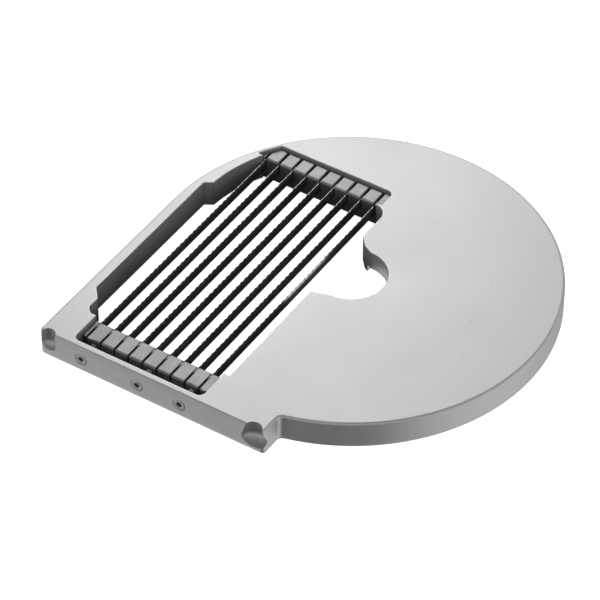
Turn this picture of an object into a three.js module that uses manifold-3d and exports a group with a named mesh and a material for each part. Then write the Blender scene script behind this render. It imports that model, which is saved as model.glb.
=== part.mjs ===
// Cutting grid disc for a food preparation machine: a cast plate with a window of parallel blades.
// The slicing disc turns just above it and pushes each slice down between the blades.
// Millimetres, +Z up. X runs along the straight front face, Y along the blades towards the back.
// Inside this file the disc's centre is at x = 0, y = 0 and its underside at z = 0.

import * as THREE from 'three';
import { mergeVertices } from 'three/addons/utils/BufferGeometryUtils.js';
import Module from 'manifold-3d';

const wasm = await Module();
wasm.setup();

// ---- Driving dimensions ----
const plate = {
  radius: 102.5,
  thickness: 15,
  front: 112.7, // disc centre to the straight front face
  earX: 24.3, // right end of the front face
  earFillet: 3,
  earCorner: 2,
  leftCorner: 2.5,
  edgeRound: 1.4,
  edgeSteps: 4,
};
const opening = {
  left: -96.5,
  right: -9.5,
  front: -90,
  back: 51,
  rimArc: { x: -16.4, y: 14, radius: 76.1 }, // back left side
  arcFrom: 19.5, // the straight left side steps in to the arc here
  arcStep: 2.5, // height of the slanted step up to the arc
  stepX: -91.5,
  stepY: -80,
  stepSlant: 6,
  frontCorner: 3,
  cornerRound: 7,
  backStep: 2, // the rounded corner ends this far short of the back
};
const hub = { radius: 17.9, neckFrontY: -21.3, neckBackY: 27, neckBackX: -5, neckBackEndY: 20.6 };
const pocket = { corner: 3, backLeftRadius: 100 };
const frontPocket = { left: -85.2, right: -12.8, innerY: -85, outerY: -108.6, ledgeY: -97 };
const backPocket = { left: -87, right: -14, innerY: 50.4, outerY: 61.2, ledgeY: 56 };
const ledgeHeight = 3;
const recess = { radius: 93.5, left: -2.5, depth: 4.3, ribWidth: 5, ribFrom: 34, ribAngles: [-55, 0, 55] };
const notches = [
  { x: 18.6, y: -113.2, topRadius: 4.2, midRadius: 6.7, midZ: 7, bottomZ: 2.6 },
  { x: -97, y: -112.9, topRadius: 3.7, midRadius: 4.1, midZ: 8, bottomZ: 4.4 },
];
const blade = {
  count: 9,
  pitch: 7.97,
  firstX: -82.4,
  thickness: 0.8,
  height: 5.8,
  drop: 3, // the cutting edges lie this far below the plate's face
  bevel: 1.4,
  edge: 0.2,
  frontY: -95,
  backY: 54.9,
};
const comb = { faceY: 50.7, backY: 60.7, drop: 2, endGap: 0.5, slotGap: 0.15, bottom: 0.4, stepGap: 0.5 };
const bar = { faceY: -90.3, frontY: -102.5, drop: 3, travel: 1.4 };
const rod = { radius: 1, z: 9.1, backY: 53, frontY: -92.8, endGap: 1, backLeft: -83.6 };
const screw = {
  gaps: [0.5, 4.5, 7.5], // counted in blade pitches from the first blade
  z: 7.5,
  radius: 2,
  headRadius: 3.3,
  headDepth: 2,
  sunk: 0.15,
  seatGap: 0.15,
  socketAcross: 2.5,
  socketDepth: 1.5,
  tip: -95.6,
  boreEnd: -94.1,
};
const nut = { across: 7, thickness: 2.2, y: -107.2 };
const clear = 0.3; // gap between pieces that touch
const bore = 0.35; // radial gap round a rod
const fine = 2.5; // degrees between the points of large arcs
const shoulderSlotY = 40; // the first blade's slot in the plate's shoulder starts here

// ---- Derived values ----
const bladeTop = plate.thickness - blade.drop;
const bladeBottom = bladeTop - blade.height;
const slotWidth = blade.thickness + 2 * comb.slotGap;
const slotFloor = bladeBottom - clear;
const bladeXs = Array.from({ length: blade.count }, (_, i) => blade.firstX + i * blade.pitch);
const screwXs = screw.gaps.map((gap) => blade.firstX + gap * blade.pitch);
const centreY = (plate.front - plate.radius) / 2; // puts the origin under the middle of the box

// ---- Solids ----
function toSolid(geometry) {
  const bare = geometry.clone();
  for (const name of ['normal', 'uv']) bare.deleteAttribute(name);
  const merged = mergeVertices(bare, 1e-4);
  const positions = new Float32Array(merged.attributes.position.array);
  const triangles = new Uint32Array(merged.index.array);
  const build = () => new wasm.Manifold(
    new wasm.Mesh({ numProp: 3, vertProperties: positions, triVerts: triangles }),
  );
  const made = build();
  if (made.volume() > 0) return made;
  for (let i = 0; i < triangles.length; i += 3) {
    [triangles[i], triangles[i + 1]] = [triangles[i + 1], triangles[i]];
  }
  return build();
}

function toGeometry(made) {
  const mesh = made.getMesh();
  const geometry = new THREE.BufferGeometry();
  geometry.setAttribute('position', new THREE.BufferAttribute(new Float32Array(mesh.vertProperties), 3));
  geometry.setIndex(new THREE.BufferAttribute(new Uint32Array(mesh.triVerts), 1));
  geometry.computeVertexNormals();
  return geometry;
}

function cut(body, cutters) {
  return cutters.reduce((left, cutter) => left.subtract(cutter), body);
}

function block(x0, x1, y0, y1, z0, z1) {
  const geometry = new THREE.BoxGeometry(x1 - x0, y1 - y0, z1 - z0);
  return toSolid(geometry.translate((x0 + x1) / 2, (y0 + y1) / 2, (z0 + z1) / 2));
}

// Points round an arc, a few degrees apart.
function arc(x, y, radius, from, to, stepDegrees = 15) {
  const steps = Math.ceil(THREE.MathUtils.radToDeg(Math.abs(to - from)) / stepDegrees);
  return Array.from({ length: steps + 1 }, (_, i) => {
    const angle = from + ((to - from) * i) / steps;
    return [x + radius * Math.cos(angle), y + radius * Math.sin(angle)];
  });
}

function polygon(points) {
  return new THREE.Shape(points.map(([x, y]) => new THREE.Vector2(x, y)));
}

// A plan outline between two heights.
function slab(points, z0, z1) {
  const geometry = new THREE.ExtrudeGeometry(polygon(points), { depth: z1 - z0, bevelEnabled: false });
  return toSolid(geometry.translate(0, 0, z0));
}

function cylinderX(radius, x0, x1, y, z, segments = 16) {
  const geometry = new THREE.CylinderGeometry(radius, radius, x1 - x0, segments);
  return toSolid(geometry.rotateZ(Math.PI / 2).translate((x0 + x1) / 2, y, z));
}

function cylinderY(radiusFront, radiusBack, y0, y1, x, z, segments = 24) {
  const geometry = new THREE.CylinderGeometry(radiusBack, radiusFront, y1 - y0, segments);
  return toSolid(geometry.translate(x, (y0 + y1) / 2, z));
}

// ---- Cast plate ----
function plateOutline() {
  const { radius, front, earX, earFillet, earCorner, leftCorner } = plate;
  const filletX = earX + earFillet;
  const filletY = -Math.sqrt((radius + earFillet) ** 2 - filletX ** 2);
  const meet = Math.atan2(filletY, filletX);
  return [
    ...arc(0, 0, radius, Math.PI, meet, fine),
    ...arc(filletX, filletY, earFillet, meet + Math.PI, Math.PI).slice(1),
    ...arc(earX - earCorner, -front + earCorner, earCorner, 0, -Math.PI / 2),
    ...arc(-radius + leftCorner, -front + leftCorner, leftCorner, -Math.PI / 2, -Math.PI),
  ];
}

function plateBlank() {
  const edge = plate.edgeRound;
  const geometry = new THREE.ExtrudeGeometry(polygon(plateOutline()), {
    depth: plate.thickness - 2 * edge,
    bevelThickness: edge,
    bevelSize: edge,
    bevelOffset: -edge,
    bevelSegments: plate.edgeSteps,
  });
  return toSolid(geometry.translate(0, 0, edge));
}

function windowOutline() {
  const { left, right, front, back, rimArc, arcFrom, arcStep } = opening;
  const { stepX, stepY, stepSlant, frontCorner, cornerRound, backStep } = opening;
  const arcStart = Math.PI - Math.asin((back - rimArc.y) / rimArc.radius);
  const arcEnd = Math.PI - Math.asin((arcFrom - rimArc.y) / rimArc.radius);
  return [
    [right, front],
    ...arc(right - cornerRound, back - backStep - cornerRound, cornerRound, 0, Math.PI / 2),
    [right - cornerRound - backStep / 4, back],
    ...arc(rimArc.x, rimArc.y, rimArc.radius, arcStart, arcEnd, fine),
    [left, arcFrom - arcStep],
    [left, stepY + stepSlant],
    [stepX, stepY],
    [stepX, front + frontCorner],
    [stepX + frontCorner, front],
  ];
}

function neckOutline() {
  return [
    [opening.right - 1, hub.neckFrontY],
    [0, -hub.radius],
    [0, hub.radius],
    [hub.neckBackX, hub.neckBackEndY],
    [opening.right - 1, hub.neckBackY],
  ];
}

// A rectangle in plan with its two corners on the outer side rounded.
function barOutline(x0, x1, innerY, outerY, radius) {
  const back = outerY > innerY;
  const cornerY = outerY + (back ? -radius : radius);
  const middle = back ? Math.PI / 2 : -Math.PI / 2;
  return [
    [x0, innerY],
    [x1, innerY],
    ...arc(x1 - radius, cornerY, radius, 0, middle),
    ...arc(x0 + radius, cornerY, radius, middle, 2 * middle),
  ];
}

// Room for a comb bar: open above its ledge, and right through on the blades' side of the ledge.
function barPocket({ left, right, innerY, outerY, ledgeY }) {
  const full = slab(barOutline(left, right, innerY, outerY, pocket.corner), -1, plate.thickness + 1);
  const [y0, y1] = outerY > innerY ? [ledgeY, outerY + 1] : [outerY - 1, ledgeY];
  return full.subtract(block(left - 1, right + 1, y0, y1, -2, ledgeHeight));
}

function rimDisc(radius, z0, z1, segments = 144) {
  const geometry = new THREE.CylinderGeometry(radius, radius, z1 - z0, segments).rotateX(Math.PI / 2);
  return toSolid(geometry.translate(0, 0, (z0 + z1) / 2));
}

function undersideRecess() {
  const half = rimDisc(recess.radius, -1, recess.depth).subtract(
    block(-120, recess.left, -120, 120, -2, plate.thickness),
  );
  const ribs = recess.ribAngles.map((degrees) => {
    const length = recess.radius + 5 - recess.ribFrom;
    const rib = new THREE.BoxGeometry(length, recess.ribWidth, 2 * plate.thickness);
    rib.translate(recess.ribFrom + length / 2, 0, 0).rotateZ(THREE.MathUtils.degToRad(degrees));
    return toSolid(rib);
  });
  return cut(half, ribs);
}

// A half round, bell shaped scoop in the front face, by which the housing locates the plate.
function locatingNotch({ x, y, topRadius, midRadius, midZ, bottomZ }) {
  const top = plate.thickness + 1;
  const profile = [new THREE.Vector2(0, bottomZ)];
  for (let i = 1; i <= 6; i += 1) {
    const angle = (i / 6) * (Math.PI / 2);
    profile.push(new THREE.Vector2(midRadius * Math.sin(angle), midZ - (midZ - bottomZ) * Math.cos(angle)));
  }
  profile.push(new THREE.Vector2(topRadius, top), new THREE.Vector2(0, top));
  return toSolid(new THREE.LatheGeometry(profile, 32).rotateX(Math.PI / 2).translate(x, y, 0));
}

function screwHole(x) {
  const head = screw.headRadius + screw.seatGap;
  const shank = screw.radius + bore;
  const seatY = -plate.front + screw.sunk;
  const mouth = cylinderY(head, head, -plate.front - 1, seatY, x, screw.z);
  const seat = cylinderY(head, shank, seatY, seatY + screw.headDepth, x, screw.z);
  const through = cylinderY(shank, shank, -plate.front + 1, frontPocket.outerY + 1, x, screw.z);
  return mouth.add(seat).add(through);
}

function castPlate() {
  const top = plate.thickness + 1;
  return cut(plateBlank(), [
    slab(windowOutline(), -1, top),
    slab(neckOutline(), -1, top),
    rimDisc(hub.radius, -1, top, 64),
    barPocket(frontPocket),
    barPocket(backPocket).intersect(rimDisc(pocket.backLeftRadius, -2, top + 1)),
    bladeSlot(bladeXs[0], shoulderSlotY, comb.faceY),
    undersideRecess(),
    ...notches.map(locatingNotch),
    ...screwXs.map(screwHole),
  ]);
}

// ---- Combs that hold the blades ----
function bladeSlot(x, y0, y1) {
  return block(x - slotWidth / 2, x + slotWidth / 2, y0, y1, slotFloor, plate.thickness + 1);
}

// A bar with a step underneath that rests on its pocket's ledge, slotted across for the blades.
function slottedBar({ left, right, ledgeY }, innerY, outerY, drop) {
  const x0 = left + comb.endGap;
  const x1 = right - comb.endGap;
  const outline = barOutline(x0, x1, innerY, outerY, pocket.corner);
  const body = slab(outline, comb.bottom, plate.thickness - drop);
  const gap = comb.stepGap;
  const [stepY0, stepY1] = outerY > innerY ? [ledgeY - gap, outerY + 1] : [outerY - 1, ledgeY + gap];
  const [slotY0, slotY1] = outerY > innerY ? [innerY - 1, outerY + 1] : [outerY - 1, innerY + 1];
  return cut(body, [
    block(x0 - 1, x1 + 1, stepY0, stepY1, -1, ledgeHeight + clear),
    ...bladeXs.map((x) => bladeSlot(x, slotY0, slotY1)),
  ]);
}

function rearComb() {
  const rim = rimDisc(pocket.backLeftRadius - comb.endGap, -2, plate.thickness + 5);
  const body = slottedBar(backPocket, comb.faceY, comb.backY, comb.drop).intersect(rim);
  return body.subtract(cylinderX(rod.radius + bore, -100, 0, rod.backY, rod.z));
}

function tensionBar() {
  const screwBore = screw.radius + clear;
  return cut(slottedBar(frontPocket, bar.faceY, bar.frontY, bar.drop), [
    cylinderX(rod.radius + bore, -100, 0, rod.frontY, rod.z),
    ...screwXs.map((x) => cylinderY(screwBore, screwBore, bar.frontY - 1, screw.boreEnd, x, screw.z)),
  ]);
}

function retainingRod(y, x0, x1) {
  return cylinderX(rod.radius, x0, x1, y, rod.z);
}

// ---- Blade: a thin strip with a ground upper edge, a round eye behind and a long eye in front ----
function bladeStrip() {
  const { thickness, frontY, backY, bevel, edge } = blade;
  const eye = rod.radius + bore;
  const side = polygon([
    [frontY, bladeBottom],
    [backY, bladeBottom],
    [backY, bladeTop],
    [frontY, bladeTop],
  ]);
  const backEye = arc(rod.backY, rod.z, eye, 0, 2 * Math.PI, 30).slice(1);
  const frontEye = [
    ...arc(rod.frontY, rod.z, eye, 0.5 * Math.PI, 1.5 * Math.PI, 30),
    ...arc(rod.frontY + bar.travel, rod.z, eye, -0.5 * Math.PI, 0.5 * Math.PI, 30),
  ];
  side.holes.push(polygon(backEye), polygon(frontEye));
  const flat = new THREE.ExtrudeGeometry(side, { depth: thickness, bevelEnabled: false });
  flat.translate(0, 0, -thickness / 2).rotateY(Math.PI / 2).rotateX(Math.PI / 2);
  const section = polygon([
    [-thickness / 2, bladeBottom],
    [thickness / 2, bladeBottom],
    [thickness / 2, bladeTop - bevel],
    [edge / 2, bladeTop],
    [-edge / 2, bladeTop],
    [-thickness / 2, bladeTop - bevel],
  ]);
  const ground = new THREE.ExtrudeGeometry(section, { depth: 200, bevelEnabled: false });
  ground.rotateX(Math.PI / 2).translate(0, 100, 0);
  return toSolid(flat).intersect(toSolid(ground));
}

// ---- Tension screws and the nuts that hold them in the front wall ----
function hexagonY(across, y0, y1, z) {
  const geometry = new THREE.CylinderGeometry(across / Math.sqrt(3), across / Math.sqrt(3), y1 - y0, 6);
  return toSolid(geometry.translate(0, (y0 + y1) / 2, z));
}

function tensionScrew() {
  const face = -plate.front + screw.sunk;
  const head = cylinderY(screw.headRadius, screw.radius, face, face + screw.headDepth, 0, screw.z);
  const shank = cylinderY(screw.radius, screw.radius, face + screw.headDepth - 0.1, screw.tip, 0, screw.z);
  const socket = hexagonY(screw.socketAcross, face - 1, face + screw.socketDepth, screw.z);
  return head.add(shank).subtract(socket);
}

function retainingNut() {
  const body = hexagonY(nut.across, nut.y - nut.thickness / 2, nut.y + nut.thickness / 2, screw.z);
  const hole = cylinderY(screw.radius + clear, screw.radius + clear, nut.y - 5, nut.y + 5, 0, screw.z);
  return body.subtract(hole);
}

// ---- Materials ----
const castAluminium = new THREE.MeshStandardMaterial({ color: 0xc4c5c6, roughness: 0.55, metalness: 0.6 });
const milledAluminium = new THREE.MeshStandardMaterial({ color: 0xb0b1b2, roughness: 0.4, metalness: 0.8 });
const bladeSteel = new THREE.MeshStandardMaterial({ color: 0x8a8d90, roughness: 0.25, metalness: 1 });
const fastenerSteel = new THREE.MeshStandardMaterial({ color: 0x9a9c9e, roughness: 0.35, metalness: 1 });

// ---- Assembly ----
const disc = new THREE.Group();
disc.position.y = centreY;

function addPiece(name, made, material, x = 0) {
  const mesh = new THREE.Mesh(made.isBufferGeometry ? made : toGeometry(made), material);
  mesh.name = name;
  mesh.position.x = x;
  disc.add(mesh);
}

addPiece('cast_plate', castPlate(), castAluminium);
addPiece('rear_comb', rearComb(), milledAluminium);
addPiece('tension_bar', tensionBar(), milledAluminium);
const rearRod = retainingRod(rod.backY, rod.backLeft, backPocket.right - rod.endGap);
const frontRod = retainingRod(rod.frontY, frontPocket.left + rod.endGap, frontPocket.right - rod.endGap);
addPiece('rear_rod', rearRod, fastenerSteel);
addPiece('front_rod', frontRod, fastenerSteel);

const strip = toGeometry(bladeStrip());
bladeXs.forEach((x, i) => addPiece(`blade_${i + 1}`, strip, bladeSteel, x));

const screwGeometry = toGeometry(tensionScrew());
const nutGeometry = toGeometry(retainingNut());
screwXs.forEach((x, i) => {
  addPiece(`tension_screw_${i + 1}`, screwGeometry, fastenerSteel, x);
  addPiece(`retaining_nut_${i + 1}`, nutGeometry, fastenerSteel, x);
});

const model = new THREE.Group();
model.add(disc);
export default model;
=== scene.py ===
import math

import bmesh
import bpy
import numpy as np
from mathutils.geometry import delaunay_2d_cdt
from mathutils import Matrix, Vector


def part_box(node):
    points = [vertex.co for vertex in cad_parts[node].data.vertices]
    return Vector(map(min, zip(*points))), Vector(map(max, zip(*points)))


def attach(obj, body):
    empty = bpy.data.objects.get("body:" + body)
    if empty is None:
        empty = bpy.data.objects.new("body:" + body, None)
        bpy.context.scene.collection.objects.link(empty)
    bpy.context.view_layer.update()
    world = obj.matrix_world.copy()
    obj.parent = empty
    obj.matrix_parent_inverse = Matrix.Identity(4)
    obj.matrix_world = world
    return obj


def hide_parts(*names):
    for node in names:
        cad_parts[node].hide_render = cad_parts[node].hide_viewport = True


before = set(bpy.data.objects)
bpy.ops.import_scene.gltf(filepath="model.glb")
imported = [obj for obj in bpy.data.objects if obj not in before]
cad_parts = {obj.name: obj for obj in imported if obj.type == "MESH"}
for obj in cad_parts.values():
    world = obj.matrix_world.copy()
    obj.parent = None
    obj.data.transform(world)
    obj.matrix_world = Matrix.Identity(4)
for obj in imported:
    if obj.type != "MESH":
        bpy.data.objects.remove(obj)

# Vegetable dicer grid disc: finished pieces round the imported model.
# Metres, +Z up; X along the straight front face, Y along the blades.

mm = 0.001
tolerance = {
    "weld": 0.002 * mm, "weldRound": 0.004 * mm, "level": 0.001 * mm, "edge": 0.01 * mm, "fill": 1e-5,
    "levelNormal": 0.9999, "coplanar": math.radians(0.8), "crease": math.radians(50),
}
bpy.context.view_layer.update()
scene = bpy.context.scene
plateLow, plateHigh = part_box("cast_plate")
topZ = plateHigh.z
frontY = plateLow.y


class Signal:
    # one shader socket; arithmetic on it adds Math nodes, and make adds any other node
    def __init__(self, tree, socket=None):
        self.tree = tree
        self.socket = socket

    def feed(self, target, value):
        if isinstance(value, Signal):
            self.tree.links.new(value.socket, target)
        else:
            target.default_value = value

    def make(self, kind, settings=None, sockets=None, output=0):
        node = self.tree.nodes.new(kind)
        for name, value in (settings or {}).items():
            setattr(node, name, value)
        for name, value in (sockets or {}).items():
            self.feed(node.inputs[name], value)
        return Signal(self.tree, node.outputs[output])

    def maths(self, operation, first, second):
        return self.make("ShaderNodeMath", {"operation": operation}, {0: first, 1: second})

    def __add__(self, other):
        return self.maths("ADD", self, other)

    def __radd__(self, other):
        return self.maths("ADD", other, self)

    def __sub__(self, other):
        return self.maths("SUBTRACT", self, other)

    def __rsub__(self, other):
        return self.maths("SUBTRACT", other, self)

    def __mul__(self, other):
        return self.maths("MULTIPLY", self, other)

    def __rmul__(self, other):
        return self.maths("MULTIPLY", other, self)

    def between(self, low, high):
        # 0 below low, 1 above high, smooth between
        settings = {"interpolation_type": "SMOOTHSTEP"}
        return self.make("ShaderNodeMapRange", settings, {"Value": self, "From Min": low, "From Max": high})

    def mixed(self, first, second):
        # colour from first to second as this value goes from 0 to 1
        settings = {"data_type": "RGBA"}
        return self.make("ShaderNodeMix", settings, {0: self, 6: first, 7: second}, 2)

    def noise(self, scale, detail=2.0, roughness=0.5, stretch=None):
        # fractal noise of this vector; stretch scales its axes first
        vector = self
        if stretch:
            vector = self.make("ShaderNodeVectorMath", {"operation": "MULTIPLY"}, {0: self, 1: stretch})
        sockets = {"Vector": vector, "Scale": scale, "Detail": detail, "Roughness": roughness}
        return self.make("ShaderNodeTexNoise", None, sockets)


def grey(level, warmth=0.0):
    return (level * (1 + warmth), level, level * (1 - warmth), 1.0)


def startMaterial(name, **fixed):
    # a material and its shader, with what is the same all over set on the shader's sockets
    material = bpy.data.materials.new(name)
    material.use_nodes = True
    shader = material.node_tree.nodes["Principled BSDF"]
    for socket, value in fixed.items():
        shader.inputs[socket.replace("_", " ")].default_value = value
    return material, shader


def objectPlace(material):
    # the object coordinates that a pattern reads
    return Signal(material.node_tree).make("ShaderNodeTexCoord", None, None, "Object")


def bumped(height, distance, strength=1.0):
    return height.make("ShaderNodeBump", None, {"Height": height, "Distance": distance, "Strength": strength})


castLook = {
    "dark": 0.375, "light": 0.445, "metallic": 0.72, "paintedShadeTone": 0.72,
    "cloudScale": 26.0, "cloudRange": (0.25, 0.75), "cloudShare": 0.6,
    "grainScale": 1500.0, "grainShare": 0.4, "grainDepth": 0.03 * mm, "bump": 0.55,
    "pitScale": 520.0, "pitRange": (0.10, 0.26), "sparseScale": 161.2, "sparseRange": (0.64, 0.76),
    "pitShade": 0.6, "pitStrength": 0.35, "pitRough": 0.15, "pitDepth": 1.6,
    "roughLow": 0.40, "roughHigh": 0.54,
}


def castAluminium(name, shade):
    # blasted casting: slow clouds in tone, a fine even grain and a few small pits
    look = castLook
    material, shader = startMaterial(name, Metallic=look["metallic"])
    place = objectPlace(material)
    cloud = place.noise(look["cloudScale"], 4.0, 0.55)
    grain = place.noise(look["grainScale"], 3.0, 0.65)
    cells = place.make("ShaderNodeTexVoronoi", None, {"Vector": place, "Scale": look["pitScale"]})
    sparse = place.noise(look["sparseScale"], 1.0).between(*look["sparseRange"])
    pit = (1 - cells.between(*look["pitRange"])) * sparse
    dark, light = look["dark"] * shade, look["light"] * shade
    share = cloud.between(*look["cloudRange"]) * look["cloudShare"] + grain * look["grainShare"]
    tone = share.mixed(grey(dark), grey(light))
    colour = (pit * look["pitStrength"]).mixed(tone, grey(dark * look["pitShade"]))
    roughSpan = look["roughHigh"] - look["roughLow"]
    place.feed(shader.inputs["Base Color"], colour)
    place.feed(shader.inputs["Roughness"], cloud * roughSpan + look["roughLow"] + pit * look["pitRough"])
    skin = grain - pit * look["pitDepth"]
    place.feed(shader.inputs["Normal"], bumped(skin, look["grainDepth"], look["bump"]))
    return material


edgeLook = {
    "dark": 0.44, "light": 0.54, "metallic": 0.85, "roughLow": 0.32, "roughHigh": 0.46,
    "scratchScale": 900.0, "scratchDepth": 0.01 * mm, "bump": 0.4, "patchScale": 90.0,
    "patchRange": (0.35, 0.65),
}


def wornEdgeAndSheen():
    # corners rubbed smoother by handling, and painted brighter as a highlight
    look = edgeLook
    material, shader = startMaterial("wornEdgeAndSheen", Metallic=look["metallic"])
    place = objectPlace(material)
    rub = place.noise(look["scratchScale"], 3.0, 0.6)
    patch = place.noise(look["patchScale"], 2.0).between(*look["patchRange"])
    place.feed(shader.inputs["Base Color"], patch.mixed(grey(look["dark"]), grey(look["light"])))
    roughSpan = look["roughHigh"] - look["roughLow"]
    place.feed(shader.inputs["Roughness"], rub * roughSpan + look["roughLow"])
    place.feed(shader.inputs["Normal"], bumped(rub, look["scratchDepth"], look["bump"]))
    return material


milledLook = {
    "dark": 0.16, "light": 0.24, "metallic": 0.75, "roughLow": 0.34, "roughHigh": 0.52,
    "lineScale": 1100.0, "lineStretch": (1.0, 0.03, 0.3), "lineShare": 0.55, "lineDepth": 0.012 * mm,
    "cloudScale": 120.0, "cloudShare": 0.45, "toneRange": (0.3, 0.7), "bump": 0.6,
}


def milledAluminium():
    # cutter lines across the bar, with a slow change of tone
    look = milledLook
    material, shader = startMaterial("milledAluminium", Metallic=look["metallic"])
    place = objectPlace(material)
    lines = place.noise(look["lineScale"], 2.0, 0.6, look["lineStretch"])
    cloud = place.noise(look["cloudScale"], 3.0)
    share = (lines * look["lineShare"] + cloud * look["cloudShare"]).between(*look["toneRange"])
    place.feed(shader.inputs["Base Color"], share.mixed(grey(look["dark"]), grey(look["light"])))
    roughSpan = look["roughHigh"] - look["roughLow"]
    place.feed(shader.inputs["Roughness"], lines * roughSpan + look["roughLow"])
    place.feed(shader.inputs["Normal"], bumped(lines, look["lineDepth"], look["bump"]))
    return material


bladeLook = {
    "dark": 0.38, "light": 0.54, "streakScale": 1600.0, "streakStretch": (1.0, 0.012, 1.0),
    "streakShare": 0.7, "streakDepth": 0.008 * mm, "stainScale": 150.0, "stainShare": 0.3,
    "stainRange": (0.4, 0.75), "toneRange": (0.25, 0.75), "warmth": 0.01,
    "roughLow": 0.22, "roughHigh": 0.38, "bump": 0.5, "groundDark": 0.44, "groundLight": 0.55,
}


def bladeSteel(name, dark, light):
    # rolled strip: long streaks along the blade
    look = bladeLook
    material, shader = startMaterial(name, Metallic=1.0)
    place = objectPlace(material)
    streak = place.noise(look["streakScale"], 3.0, 0.6, look["streakStretch"])
    stain = place.noise(look["stainScale"], 3.0).between(*look["stainRange"])
    share = (streak * look["streakShare"] + stain * look["stainShare"]).between(*look["toneRange"])
    place.feed(shader.inputs["Base Color"], share.mixed(grey(dark), grey(light, look["warmth"])))
    roughSpan = look["roughHigh"] - look["roughLow"]
    place.feed(shader.inputs["Roughness"], streak * roughSpan + look["roughLow"])
    place.feed(shader.inputs["Normal"], bumped(streak, look["streakDepth"], look["bump"]))
    return material


fastenerLook = {
    "dark": 0.26, "light": 0.36, "ringScale": 1400.0, "ringStretch": (0.2, 1.0, 0.2), "ringDepth": 0.006 * mm,
    "stainScale": 400.0, "stainRange": (0.35, 0.7), "roughLow": 0.30, "roughSpan": 0.18, "bump": 0.5,
}


def fastenerSteel():
    # turned stainless: fine rings and a light stain
    look = fastenerLook
    material, shader = startMaterial("fastenerSteel", Metallic=1.0)
    place = objectPlace(material)
    rings = place.noise(look["ringScale"], 2.0, 0.5, look["ringStretch"])
    stain = place.noise(look["stainScale"], 3.0).between(*look["stainRange"])
    place.feed(shader.inputs["Base Color"], stain.mixed(grey(look["dark"]), grey(look["light"])))
    place.feed(shader.inputs["Roughness"], rings * look["roughSpan"] + look["roughLow"])
    place.feed(shader.inputs["Normal"], bumped(rings, look["ringDepth"], look["bump"]))
    return material


castMaterial = castAluminium("castAluminium", 1.0)
# a darker copy of the cast material: painted shade for the upper walls of the notches
notchShadeMaterial = castAluminium("castWithPaintedShade", castLook["paintedShadeTone"])
edgeMaterial = wornEdgeAndSheen()
milledMaterial = milledAluminium()
bladeMaterial = bladeSteel("bladeSteel", bladeLook["dark"], bladeLook["light"])
groundMaterial = bladeSteel("groundEdge", bladeLook["groundDark"], bladeLook["groundLight"])
fastenerMaterial = fastenerSteel()
print("materials ready")


def gridFaces(rows, columns, wrapRows):
    # quads of a grid whose columns close on themselves; wrapRows closes it the other way too
    row = np.arange(rows if wrapRows else rows - 1)[:, None]
    column = np.arange(columns)[None, :]
    nextRow = (row + 1) % rows
    nextColumn = (column + 1) % columns
    corners = [
        row * columns + column, nextRow * columns + column,
        nextRow * columns + nextColumn, row * columns + nextColumn,
    ]
    return np.stack([np.broadcast_to(c, (len(row), columns)) for c in corners], 2).reshape(-1, 4)


def enclosedVolume(points, quads):
    # a sixth of the triple products of two triangles a quad, negative where the faces look inwards
    a, b, c, d = (points[quads[:, i]] for i in range(4))
    return float((np.cross(a, b) * c).sum() + (np.cross(a, c) * d).sum()) / 6


def surfaceMesh(name, grid, wrapRows=False):
    # a closed mesh from a grid of points (rows, columns, 3); open ends are capped by one face each
    rows, columns = grid.shape[:2]
    points = grid.reshape(-1, 3)
    quads = gridFaces(rows, columns, wrapRows)
    inward = enclosedVolume(points - points.mean(0), quads) < 0
    if inward:
        quads = quads[:, ::-1]
    faces = quads.tolist()
    if not wrapRows:
        first = list(range(columns))
        last = list(range((rows - 1) * columns, rows * columns))
        faces += [first[::-1], last] if inward else [first, last[::-1]]
    mesh = bpy.data.meshes.new(name)
    mesh.from_pydata(points.tolist(), [], faces)
    mesh.validate()
    return mesh


def smoothShade(mesh, degrees):
    mesh.update()
    mesh.shade_smooth()
    mesh.set_sharp_from_angle(angle=math.radians(degrees))


def addPiece(name, mesh, materials, body, nodes):
    for material in materials:
        mesh.materials.append(material)
    piece = bpy.data.objects.new(name, mesh)
    scene.collection.objects.link(piece)
    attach(piece, body)
    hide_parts(*nodes)
    return piece


def mergedCopy(node):
    # the CAD node's shape as one joined mesh; its flat faces are whole again, and any face with many
    # corners that isn't level is cut into triangles
    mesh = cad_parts[node].data.copy()
    mesh.materials.clear()
    shape = bmesh.new()
    shape.from_mesh(mesh)
    bmesh.ops.remove_doubles(shape, verts=shape.verts, dist=tolerance["weld"])
    bmesh.ops.dissolve_limit(shape, angle_limit=tolerance["coplanar"], verts=shape.verts, edges=shape.edges)
    upright = [
        face for face in shape.faces
        if len(face.verts) > 4 and abs(face.normal.z) < tolerance["levelNormal"]
    ]
    bmesh.ops.triangulate(shape, faces=upright, quad_method="BEAUTY", ngon_method="BEAUTY")
    return mesh, shape


def weighEdges(shape, weigh):
    # weigh(edge, turn) says how much of the full round each edge gets, from 0 to 1
    layer = shape.edges.layers.float.new("bevel_weight_edge")
    for edge in shape.edges:
        turn = edge.calc_face_angle(0.0)
        edge[layer] = weigh(edge, math.degrees(turn))


def finishedMesh(mesh, addModifiers):
    # the mesh that a passing object with these modifiers comes to
    blank = bpy.data.objects.new("blank", mesh)
    scene.collection.objects.link(blank)
    addModifiers(blank)
    bpy.context.view_layer.update()
    graph = bpy.context.evaluated_depsgraph_get()
    finished = bpy.data.meshes.new_from_object(blank.evaluated_get(graph))
    bpy.data.objects.remove(blank)
    return finished


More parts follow.
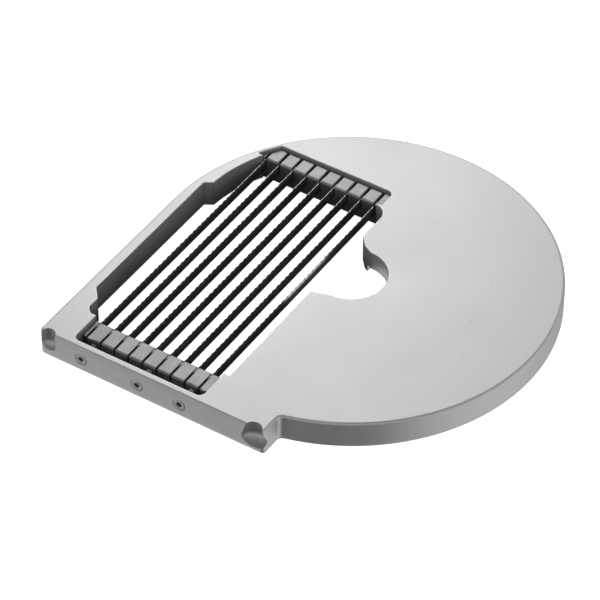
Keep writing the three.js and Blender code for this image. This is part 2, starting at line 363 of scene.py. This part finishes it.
def refillFlat(shape, height):
    # the level faces at one height are taken out and filled again from their outlines: a triangle is
    # kept where a line to its left crosses the outlines an odd number of times
    level = [f for f in shape.faces if all(abs(v.co.z - height) < tolerance["level"] for v in f.verts)]
    chosen = set(level)
    rim = dict.fromkeys(e for f in level for e in f.edges if sum(g in chosen for g in e.link_faces) == 1)
    corners = list(dict.fromkeys(v for e in rim for v in e.verts))
    places = {v: i for i, v in enumerate(corners)}
    pairs = [(places[e.verts[0]], places[e.verts[1]]) for e in rim]
    upward = sum(f.normal.z * f.calc_area() for f in level) > 0
    bmesh.ops.delete(shape, geom=level, context="FACES")
    made = delaunay_2d_cdt([v.co.xy / mm for v in corners], pairs, [], 1, tolerance["fill"])
    flat = np.array([xy[:] for xy in made[0]])
    points = [
        corners[old[0]] if old else shape.verts.new((*(xy * mm), height))
        for xy, old in zip(made[0], made[3])
    ]
    ends = np.array([corners[i].co.xy / mm for pair in pairs for i in pair]).reshape(-1, 2, 2)
    (x0, y0), (x1, y1) = ends[:, 0].T, ends[:, 1].T
    for triangle in made[2]:
        x, y = flat[triangle].mean(0)
        passed = (y0 > y) != (y1 > y)
        crossings = (x < x0 + (x1 - x0) * (y - y0) / np.where(passed, y1 - y0, 1))[passed].sum()
        if crossings % 2:
            shape.faces.new([points[i] for i in (triangle if upward else triangle[::-1])])


def roundEdges(mesh, width, segments, edgeSlot=-1):
    # weighted edges get a round of this width, and the level faces are filled again
    level = [face for face in mesh.polygons if abs(face.normal.z) > tolerance["levelNormal"]]
    heights = sorted({round(face.center.z, 6) for face in level})

    def addBevel(blank):
        bevel = blank.modifiers.new("roundedEdges", "BEVEL")
        bevel.limit_method = "WEIGHT"
        bevel.width = width
        bevel.segments = segments
        bevel.use_clamp_overlap = False
        bevel.loop_slide = False
        bevel.miter_outer = "MITER_ARC"
        bevel.material = edgeSlot

    finished = finishedMesh(mesh, addBevel)
    shape = bmesh.new()
    shape.from_mesh(finished)
    for height in heights:
        refillFlat(shape, height)
    bmesh.ops.remove_doubles(shape, verts=shape.verts, dist=tolerance["weldRound"])
    bmesh.ops.holes_fill(shape, edges=[edge for edge in shape.edges if edge.is_boundary], sides=8)
    for edge in shape.edges:
        edge.smooth = edge.calc_face_angle(0.0) < tolerance["crease"]
    for face in shape.faces:
        face.smooth = True
    shape.to_mesh(finished)
    shape.free()
    finished.update()
    return finished


shadingLook = {"weight": 100, "leastArea": 0.05 * mm ** 2}


def shadedByLargest(mesh):
    # each corner takes the normal of its largest face, and a level face keeps its own at every corner
    def addShading(blank):
        shading = blank.modifiers.new("faceWeightedNormals", "WEIGHTED_NORMAL")
        shading.mode = "FACE_AREA_WITH_ANGLE"
        shading.weight = shadingLook["weight"]
        shading.keep_sharp = True

    shaded = finishedMesh(mesh, addShading)
    normals = np.empty(len(shaded.loops) * 3)
    shaded.corner_normals.foreach_get("vector", normals)
    normals = normals.reshape(-1, 3)
    for face in shaded.polygons:
        if abs(face.normal.z) > tolerance["levelNormal"] and face.area > shadingLook["leastArea"]:
            normals[face.loop_start:face.loop_start + face.loop_total] = face.normal
    shaded.normals_split_custom_set(normals)
    return shaded


plateLook = {
    "edgeWidth": 0.5 * mm, "segments": 3, "sharpFrom": 35.0, "crispDepth": 9 * mm, "wall": 12 * mm,
    "notches": ((18.6 * mm, 7.6 * mm), (-97.0 * mm, 5.0 * mm)),
    "inward": 0.5 * mm, "lowTilt": -0.98, "highTilt": 0.05,
}


def inNotch(point, normal):
    # the upper walls of the scoops in the front face, which get a darker copy of the cast material as painted
    # shade:
    # near a scoop's middle, looking towards it, and leaning over
    look = plateLook
    for x, radius in look["notches"]:
        awayX, awayY = x - point.x, frontY - point.y
        if math.hypot(awayX, awayY) < radius and awayX * normal.x + awayY * normal.y > look["inward"]:
            return look["lowTilt"] < normal.z < look["highTilt"]
    return False


def makePlate():
    look = plateLook
    mesh, shape = mergedCopy("cast_plate")

    def weigh(edge, turn):
        # the rims of the notches and screw seats in the front face stay crisp
        if turn < look["sharpFrom"]:
            return 0.0
        deep = max(vert.co.y for vert in edge.verts) > frontY + look["crispDepth"]
        inPocket = all(plateLow.x + look["wall"] < vert.co.x < -look["wall"] for vert in edge.verts)
        atTop = min(vert.co.z for vert in edge.verts) > topZ - tolerance["edge"]
        return 1.0 if deep or (inPocket and atTop) else 0.0

    weighEdges(shape, weigh)
    shape.to_mesh(mesh)
    shape.free()
    materials = [castMaterial, edgeMaterial, notchShadeMaterial]
    for material in materials:
        mesh.materials.append(material)
    # the rounds take the edge material: real wear plus a painted highlight in its brighter colour
    mesh = roundEdges(mesh, look["edgeWidth"], look["segments"], materials.index(edgeMaterial))
    # the notch walls take the darker copy: painted shade in the recesses
    for face in mesh.polygons:
        if inNotch(face.center, face.normal):
            face.material_index = materials.index(notchShadeMaterial)
    addPiece("castPlate", shadedByLargest(mesh), [], "plate", ["cast_plate"])


combLook = {
    "toothRound": 1.1 * mm, "slotEdges": {"rear_comb": 0.5, "tension_bar": 0.2}, "otherEdges": 0.25,
    "segments": 4, "sharpFrom": 42.0, "shortest": 0.9 * mm,
}


def makeComb(node, name, body):
    # the tops of the teeth are rounded most; the rims of the bores are left sharp
    look = combLook
    mesh, shape = mergedCopy(node)
    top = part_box(node)[1].z

    def weigh(edge, turn):
        if turn < look["sharpFrom"] or edge.calc_length() < look["shortest"]:
            return 0.0
        onTop = all(abs(vert.co.z - top) < tolerance["edge"] for vert in edge.verts)
        along = edge.verts[1].co - edge.verts[0].co
        topWeight = look["slotEdges"][node] if abs(along.y) > abs(along.x) else 1.0
        return topWeight if onTop else look["otherEdges"]

    weighEdges(shape, weigh)
    shape.to_mesh(mesh)
    shape.free()
    mesh = roundEdges(mesh, look["toothRound"], look["segments"])
    addPiece(name, shadedByLargest(mesh), [milledMaterial], body, [node])


makePlate()
makeComb("rear_comb", "rearComb", "plate")
makeComb("tension_bar", "tensionBar", "tension_bar")
print("plate and combs done")


bladeShape = {
    "toothPitch": 3.7 * mm, "toothDepth": 0.32 * mm, "stationsPerTooth": 12, "bevel": 1.5 * mm,
    "toothPower": 0.8, "bevelFollows": 0.35, "edge": 0.07 * mm, "corner": 0.08 * mm,
    "eye": 1.35 * mm, "eyeColumns": 32, "past": 1 * mm, "travel": 1.4 * mm, "groundTilt": 0.1, "crease": 12.0,
}


def bladeGrid(low, high):
    # rows along Y, columns round the section, a strip with small lower corners and two bevels that
    # meet at the upper edge; the edge dips between teeth by the depth times |sin(pi y / pitch)| to a
    # power, and the top of the bevels follows it in part
    shape = bladeShape
    half = (high.x - low.x) / 2
    middle = (high.x + low.x) / 2
    count = int((high.y - low.y) / shape["toothPitch"] * shape["stationsPerTooth"])
    y = np.linspace(low.y, high.y, count)
    dip = shape["toothDepth"] * np.abs(np.sin(math.pi * y / shape["toothPitch"])) ** shape["toothPower"]
    edge, corner = shape["edge"], shape["corner"]
    bevelZ = high.z - shape["bevel"]
    x = np.array([-half, -half + corner, half - corner, half, half, edge, -edge, -half]) + middle
    z = np.array([low.z + corner, low.z, low.z, low.z + corner, bevelZ, high.z, high.z, bevelZ])
    part = shape["bevelFollows"]
    follows = np.array([0, 0, 0, 0, part, 1, 1, part])
    grid = np.empty((count, len(x), 3))
    grid[:, :, 0] = x
    grid[:, :, 1] = y[:, None]
    grid[:, :, 2] = z - dip[:, None] * follows
    return grid


def eyeCutter(low, high, rodNode, stretch):
    # the hole that the rod runs through: a circle round the rod, whose back half is moved back by the
    # stretch, carried across the blade
    shape = bladeShape
    rodLow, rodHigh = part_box(rodNode)
    y = (rodLow.y + rodHigh.y) / 2
    z = (rodLow.z + rodHigh.z) / 2
    turn = np.linspace(0, 2 * math.pi, shape["eyeColumns"], endpoint=False)
    across = np.array([low.x - shape["past"], high.x + shape["past"]])
    grid = np.empty((2, len(turn), 3))
    grid[:, :, 0] = across[:, None]
    grid[:, :, 1] = y + shape["eye"] * np.cos(turn) + stretch * (np.cos(turn) > 0)
    grid[:, :, 2] = z + shape["eye"] * np.sin(turn)
    cutter = bpy.data.objects.new("eyeCutter", surfaceMesh("eyeCutter", grid))
    scene.collection.objects.link(cutter)
    return cutter


def cutEyes(mesh, cutters):
    # takes the cutters out of the blade and then removes them
    def addCuts(blank):
        for cutter in cutters:
            modifier = blank.modifiers.new("eye", "BOOLEAN")
            modifier.operation = "DIFFERENCE"
            modifier.solver = "EXACT"
            modifier.object = cutter

    finished = finishedMesh(mesh, addCuts)
    for cutter in cutters:
        bpy.data.objects.remove(cutter)
    return finished


def makeBlades():
    # one blade is cut and finished, and the others are copies of it moved along X
    shape = bladeShape
    names = sorted((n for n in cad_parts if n.startswith("blade_")), key=lambda n: int(n[6:]))
    low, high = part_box(names[0])
    blank = surfaceMesh("bladeBlank", bladeGrid(low, high))
    cutters = [eyeCutter(low, high, "rear_rod", 0.0), eyeCutter(low, high, "front_rod", shape["travel"])]
    first = cutEyes(blank, cutters)
    points = np.empty(len(first.vertices) * 3)
    first.vertices.foreach_get("co", points)
    faceHeights = np.array([face.center.z for face in first.polygons])
    faceTilt = np.array([abs(face.normal.z) for face in first.polygons])
    ground = (faceHeights > high.z - shape["bevel"]) & (faceTilt > shape["groundTilt"])
    for name in names:
        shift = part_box(name)[0].x - low.x
        mesh = first.copy()
        moved = points.reshape(-1, 3) + [shift, 0, 0]
        mesh.vertices.foreach_set("co", moved.ravel())
        smoothShade(mesh, shape["crease"])
        materials = [bladeMaterial, groundMaterial]
        addPiece("groundBlade" + name[6:], mesh, materials, "plate", [name])
        mesh.polygons.foreach_set("material_index", ground.astype(np.int32))


makeBlades()
print("blades done")


def hexagonRadius(turn, across):
    # distance from the centre to the side of a hexagon, by angle: half the width across the flats over
    # the cosine of the angle from the middle of the nearest flat
    sector = (turn + math.pi / 6) % (math.pi / 3) - math.pi / 6
    return across / 2 / np.cos(sector)


def aboutAxis(radius, along, centre, axis):
    # points round an axis through centre: each row stands at its own place along the axis, and each
    # column at its own angle, as far out as the radius of that row and column
    turn = np.linspace(0, 2 * math.pi, radius.shape[1], endpoint=False)
    side, up = radius * np.cos(turn), radius * np.sin(turn)
    forward = np.broadcast_to(np.asarray(along)[:, None], radius.shape)
    order = {"x": (forward, side, up), "y": (side, forward, up)}[axis]
    return np.stack(order, 2) + np.array(centre)


screwShape = {
    "columns": 72, "socket": 2.5 * mm, "socketDepth": 1.5 * mm, "head": 3.3 * mm, "rim": 0.25 * mm,
    "headDepth": 2.0 * mm, "shank": 1.98 * mm, "core": 1.62 * mm, "pitch": 0.7 * mm, "rowsPerTurn": 12,
    "lead": 0.12 * mm, "fillet": 0.1 * mm, "runIn": 0.3 * mm, "runOut": 0.4 * mm, "tip": 0.7, "thinnest": 0.6,
    "crease": 40.0,
}


def screwGrid(centre, faceY, tipY):
    # rows from the socket's floor, over the countersunk head and down the thread to the tip; the thread's
    # radius goes from shank to core and back once a pitch, a turn round the axis moves it on by a pitch,
    # and it thins out over the last pitch
    shape = screwShape
    turn = np.linspace(0, 2 * math.pi, shape["columns"], endpoint=False)
    socket = hexagonRadius(turn, shape["socket"])
    circle = np.ones_like(turn)
    mouth = shape["socket"] / math.sqrt(3) + shape["lead"]
    rows = [
        (socket, shape["socketDepth"]),
        (socket, shape["lead"]),
        (circle * mouth, 0.0),
        (circle * (shape["head"] - shape["rim"]), 0.0),
        (circle * shape["head"], shape["rim"] * 0.5),
        (circle * shape["head"], shape["rim"]),
        (circle * (shape["shank"] + shape["fillet"]), shape["headDepth"]),
        (circle * shape["shank"], shape["headDepth"] + shape["fillet"]),
    ]
    length = tipY - faceY
    count = int(length / shape["pitch"] * shape["rowsPerTurn"])
    along = np.linspace(shape["headDepth"] + shape["runIn"], length - shape["runOut"], count)
    phase = (along[:, None] / shape["pitch"] - turn / (2 * math.pi)) % 1.0
    thread = shape["core"] + (shape["shank"] - shape["core"]) * np.abs(2 * phase - 1)
    fade = np.clip((length - along[:, None]) / shape["pitch"], shape["thinnest"], 1.0)
    radius = np.vstack([row[0] for row in rows] + [thread * fade] + [circle * shape["core"] * shape["tip"]])
    places = np.concatenate([[row[1] for row in rows], along, [length]])
    return aboutAxis(radius, places, (centre[0], faceY, centre[1]), "y")


nutShape = {
    "columns": 96, "across": 7.0 * mm, "hole": 2.3 * mm, "chamfer": 0.3 * mm, "slope": 0.55,
    "flat": 0.97, "coneDepth": 0.35 * mm, "coneRows": 6, "crease": 30.0,
}


def nutGrid(centre, y0, y1):
    # a hexagon round a chamfered hole; near both faces its radius is the lesser of the hexagon's and
    # of a cone that widens with the depth, so that the corners are turned off
    shape = nutShape
    turn = np.linspace(0, 2 * math.pi, shape["columns"], endpoint=False) + math.pi / 6
    side = hexagonRadius(turn, shape["across"])
    circle = np.ones_like(turn)
    flat = shape["across"] / 2 * shape["flat"]
    thick = y1 - y0
    outer = [
        (np.minimum(side, flat + depth / shape["slope"]), depth)
        for depth in np.linspace(0, shape["coneDepth"], shape["coneRows"])
    ]
    back = [(radius, thick - depth) for radius, depth in reversed(outer)]
    lip = shape["hole"] + shape["chamfer"]
    rows = [(circle * shape["hole"], shape["chamfer"]), (circle * lip, 0.0), *outer, *back]
    rows += [(circle * lip, thick), (circle * shape["hole"], thick - shape["chamfer"])]
    radius = np.vstack([row[0] for row in rows])
    return aboutAxis(radius, [row[1] for row in rows], (centre[0], y0, centre[1]), "y")


rodShape = {"columns": 40, "chamfer": 0.25 * mm, "crease": 40.0}


def rodGrid(low, high):
    # a round bar along X, as wide as the box is high, with a chamfer at both ends
    radius = (high.z - low.z) / 2
    chamfer = rodShape["chamfer"]
    along = np.array([low.x, low.x + chamfer, high.x - chamfer, high.x])
    sizes = np.array([radius - chamfer, radius, radius, radius - chamfer])
    centre = (0, (low.y + high.y) / 2, (low.z + high.z) / 2)
    return aboutAxis(np.repeat(sizes[:, None], rodShape["columns"], 1), along, centre, "x")


def makeFasteners():
    for number in (1, 2, 3):
        body = f"tension_screw_{number}"
        low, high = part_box(body)
        centre = ((low.x + high.x) / 2, (low.z + high.z) / 2)
        screw = surfaceMesh(f"tensionScrew{number}", screwGrid(centre, low.y, high.y))
        smoothShade(screw, screwShape["crease"])
        addPiece(f"tensionScrew{number}", screw, [fastenerMaterial], body, [body])
        nutNode = f"retaining_nut_{number}"
        low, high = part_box(nutNode)
        nut = surfaceMesh(f"retainingNut{number}", nutGrid(centre, low.y, high.y), True)
        smoothShade(nut, nutShape["crease"])
        addPiece(f"retainingNut{number}", nut, [fastenerMaterial], body, [nutNode])
    for node, name, body in (("rear_rod", "rearRod", "plate"), ("front_rod", "frontRod", "tension_bar")):
        rod = surfaceMesh(name, rodGrid(*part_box(node)))
        smoothShade(rod, rodShape["crease"])
        addPiece(name, rod, [fastenerMaterial], body, [node])


makeFasteners()
print("fasteners done")


floorLook = {"half": 4.0, "drop": 0.2 * mm, "glow": 0.93, "white": 0.8, "rough": 0.9}


def stageSheet(name, outline, material):
    mesh = bpy.data.meshes.new(name)
    mesh.from_pydata(outline, [], [list(range(len(outline)))])
    mesh.materials.append(material)
    sheet = bpy.data.objects.new(name, mesh)
    scene.collection.objects.link(sheet)
    return sheet


def makeFloor():
    # a pale floor that glows to white and isn't reflected in the metal
    look = floorLook
    half, z = look["half"], -look["drop"]
    material, shader = startMaterial("paleFloor", Roughness=look["rough"], Specular_IOR_Level=0.0)
    shader.inputs["Base Color"].default_value = grey(look["white"])
    shader.inputs["Emission Color"].default_value = grey(1.0)
    shader.inputs["Emission Strength"].default_value = look["glow"]
    outline = [(-half, -half, z), (half, -half, z), (half, half, z), (-half, half, z)]
    floor = stageSheet("floor", outline, material)
    floor.visible_diffuse = False
    floor.visible_glossy = False


cardLook = {
    "drop": 0.6 * mm, "tone": 0.07, "left": 6 * mm, "right": 15 * mm, "front": 12 * mm, "back": 6 * mm,
    "inset": 2.5 * mm, "cornerPoints": 5,
}


def makeShadeCard():
    # a dark card under the window, unseen itself, which the blades and inner walls reflect;
    # its back left corner follows the rim a little way in
    look = cardLook
    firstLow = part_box("blade_1")[0]
    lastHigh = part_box("blade_9")[1]
    x0, x1 = plateLow.x + look["left"], lastHigh.x + look["right"]
    y0, y1 = firstLow.y - look["front"], lastHigh.y + look["back"]
    z = -look["drop"]
    radius = plateHigh.x - look["inset"]
    middleY = plateHigh.y - plateHigh.x
    turn = np.linspace(math.asin((y1 - middleY) / radius), math.acos(-x0 / radius), look["cornerPoints"])
    corner = [(-radius * math.cos(t), middleY + radius * math.sin(t), z) for t in turn]
    material, shader = startMaterial("shadeCard", Roughness=1.0, Specular_IOR_Level=0.0)
    shader.inputs["Base Color"].default_value = grey(look["tone"])
    card = stageSheet("shadeCard", [(x0, y0, z), (x1, y0, z), (x1, y1, z), *corner], material)
    card.visible_camera = False
    card.visible_shadow = False


worldLook = {
    "sky": 0.34, "horizon": 1.05, "ground": 1.35, "back": 0.65, "dark": 0.10, "darkWay": math.radians(-72.0),
    "backRange": (-0.95, -0.35), "darkRange": (0.40, 1.0), "horizonRange": (-0.1, 0.35),
    "skyRange": (0.50, 0.86), "strength": 0.9,
}


def makeWorld():
    # a grey sky over a bright horizon, and a ground that is darker towards two headings
    world = bpy.data.worlds.new("softStudio")
    scene.world = world
    world.use_nodes = True
    tree = world.node_tree
    direction = Signal(tree).make("ShaderNodeTexCoord", None, None, "Generated")
    look = worldLook
    height = direction.make("ShaderNodeSeparateXYZ", None, {0: direction}, 2)
    level = direction.make("ShaderNodeVectorMath", {"operation": "MULTIPLY"}, {0: direction, 1: (1, 1, 0)})
    heading = direction.make("ShaderNodeVectorMath", {"operation": "NORMALIZE"}, {0: level})
    way = (math.cos(look["darkWay"]), math.sin(look["darkWay"]), 0)
    facing = direction.make("ShaderNodeVectorMath", {"operation": "DOT_PRODUCT"}, {0: heading, 1: way}, 1)
    lit = facing.between(*look["backRange"]).mixed(grey(look["back"]), grey(look["ground"]))
    ground = facing.between(*look["darkRange"]).mixed(lit, grey(look["dark"]))
    side = height.between(*look["horizonRange"]).mixed(ground, grey(look["horizon"]))
    sky = height.between(*look["skyRange"]).mixed(side, grey(look["sky"]))
    direction.feed(tree.nodes["Background"].inputs["Color"], sky)
    tree.nodes["Background"].inputs["Strength"].default_value = look["strength"]


lightLook = {
    "backLeftLight": {"place": (-0.40, 0.55, 0.62), "target": (-0.02, 0.08, 0), "size": 0.4, "power": 2.1},
    "frontLight": {"place": (0.9, -1.4, 1.6), "target": (0, 0, 0), "size": 1.6, "power": 1.3},
}


def addAreaLight(name, place, target, size, power):
    lamp = bpy.data.lights.new(name, "AREA")
    lamp.shape = "DISK"
    lamp.size = size
    lamp.energy = power
    light = bpy.data.objects.new(name, lamp)
    scene.collection.objects.link(light)
    aim = np.array(target) - np.array(place)
    light.location = place
    light.rotation_euler = Vector(aim).to_track_quat("-Z", "Y").to_euler()


cameraLook = {
    "azimuth": math.radians(32.93), "elevation": math.radians(42.72), "distance": 1.6536,
    "target": (-10.2 * mm, -23.9 * mm, 15.0 * mm), "lens": 209.15, "sensor": 36.0, "clipStart": 0.05,
}


def makeCamera():
    look = cameraLook
    az, el = look["azimuth"], look["elevation"]
    forward = np.array([-math.sin(az) * math.cos(el), math.cos(az) * math.cos(el), -math.sin(el)])
    data = bpy.data.cameras.new("camera")
    data.sensor_width = look["sensor"]
    data.lens = look["lens"]
    data.clip_start = look["clipStart"]
    camera = bpy.data.objects.new("camera", data)
    camera.location = np.array(look["target"]) - forward * look["distance"]
    camera.rotation_euler = (math.pi / 2 - el, 0.0, az)
    scene.collection.objects.link(camera)
    scene.camera = camera


makeFloor()
makeShadeCard()
makeWorld()
for name, look in lightLook.items():
    addAreaLight(name, **look)
makeCamera()
scene.view_settings.view_transform = "Standard"
print("stage done")
